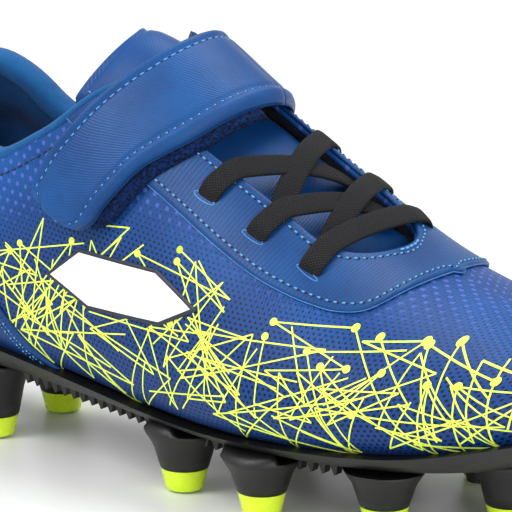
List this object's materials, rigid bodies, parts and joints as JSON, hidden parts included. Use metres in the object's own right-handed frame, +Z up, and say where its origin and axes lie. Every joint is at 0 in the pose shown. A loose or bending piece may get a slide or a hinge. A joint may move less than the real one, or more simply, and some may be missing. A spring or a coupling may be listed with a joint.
{
  "type": "soccer cleat",
  "caption": "Child's right football boot with moulded studs, flat elastic lace and a hook-and-loop strap over the instep that opens.",
  "frame": {"origin": "on the ground, under the middle of the boot's outer box", "axes": "+X towards the toe, +Y towards the medial side, +Z up from the ground that the studs stand on"},
  "size_m": [0.2026, 0.0756, 0.102],
  "materials": {
    "outsole_plastic": "satin black moulded plastic",
    "stud_tip_plastic": "glossy neon yellow moulded plastic",
    "printed_textile": "fine ribbed blue textile with dots and thin yellow printed lines",
    "smooth_overlay": "smooth coated blue textile with fine ribs",
    "dark_lining": "brushed near-black textile",
    "foam": "open cell foam",
    "binding": "soft light blue knit",
    "elastic_lace": "black woven flat elastic",
    "hook_and_loop": "blue hook and loop pile",
    "mark_film": "white film with a dark rim",
    "stiffener": "thermoplastic stiffener sheet",
    "board": "bonded fibre board",
    "sock_cloth": "black knitted cloth"
  },
  "bodies": {
    "shoe": {"backstay": "smooth_overlay", "collar_binding": "binding", "collar_foam": "foam", "eyestay": "smooth_overlay", "heel_counter": "stiffener", "heel_overlay": "smooth_overlay", "insole_board": "board", "interlining": "foam", "lace_front_run": "elastic_lace", "lace_lateral_run_1": "elastic_lace", "lace_lateral_run_2": "elastic_lace", "lace_medial_run_1": "elastic_lace", "lace_medial_run_2": "elastic_lace", "lining": "dark_lining", "loop_patch": "hook_and_loop", "outsole": "outsole_plastic", "side_mark": "mark_film", "sock_liner_cover": "sock_cloth", "sock_liner_foam": "foam", "strap_sewn_end_backing": "hook_and_loop", "strap_sewn_end_face": "smooth_overlay", "strobel_sock": "board", "stud_tip_heel_lateral_front": "stud_tip_plastic", "stud_tip_heel_lateral_rear": "stud_tip_plastic", "stud_tip_heel_medial_front": "stud_tip_plastic", "stud_tip_heel_medial_rear": "stud_tip_plastic", "stud_tip_lateral_front": "stud_tip_plastic", "stud_tip_lateral_middle": "stud_tip_plastic", "stud_tip_lateral_rear": "stud_tip_plastic", "stud_tip_medial_front": "stud_tip_plastic", "stud_tip_medial_middle": "stud_tip_plastic", "stud_tip_medial_rear": "stud_tip_plastic", "stud_tip_toe_lateral": "stud_tip_plastic", "stud_tip_toe_medial": "stud_tip_plastic", "toe_puff": "stiffener", "tongue_face": "smooth_overlay", "tongue_foam": "foam", "tongue_lining": "dark_lining", "upper": "printed_textile"},
    "strap": {"strap_bridge_face": "smooth_overlay", "strap_bridge_backing": "hook_and_loop"},
    "strap_tab": {"strap_tab_face": "smooth_overlay", "strap_tab_hook": "hook_and_loop"},
    "tongue_end": {"tongue_end_face": "smooth_overlay", "tongue_end_foam": "foam", "tongue_end_lining": "dark_lining"}
  },
  "joints": [
    {"name": "strap_open", "type": "hinge", "parent": "shoe", "child": "strap", "pos_m": [-0.01122, 0.02608, 0.0755], "axis": [-0.766, 0, 0.6428], "range_deg": [0, 110]},
    {"name": "tab_peel", "type": "hinge", "parent": "strap", "child": "strap_tab", "pos_m": [-0.00242, -0.02261, 0.0862], "axis": [-0.766, 0, 0.6428], "range_deg": [0, 55]},
    {"name": "tongue_tilt", "type": "hinge", "parent": "shoe", "child": "tongue_end", "pos_m": [0.00478, 0, 0.091], "axis": [0, 1, 0], "range_deg": [0, 22]}
  ],
  "couplings": [
    {"joint": "tab_peel", "follows": "strap_open", "ratio": 0.5},
    {"joint": "tongue_tilt", "follows": "strap_open", "ratio": 0.2}
  ]
}
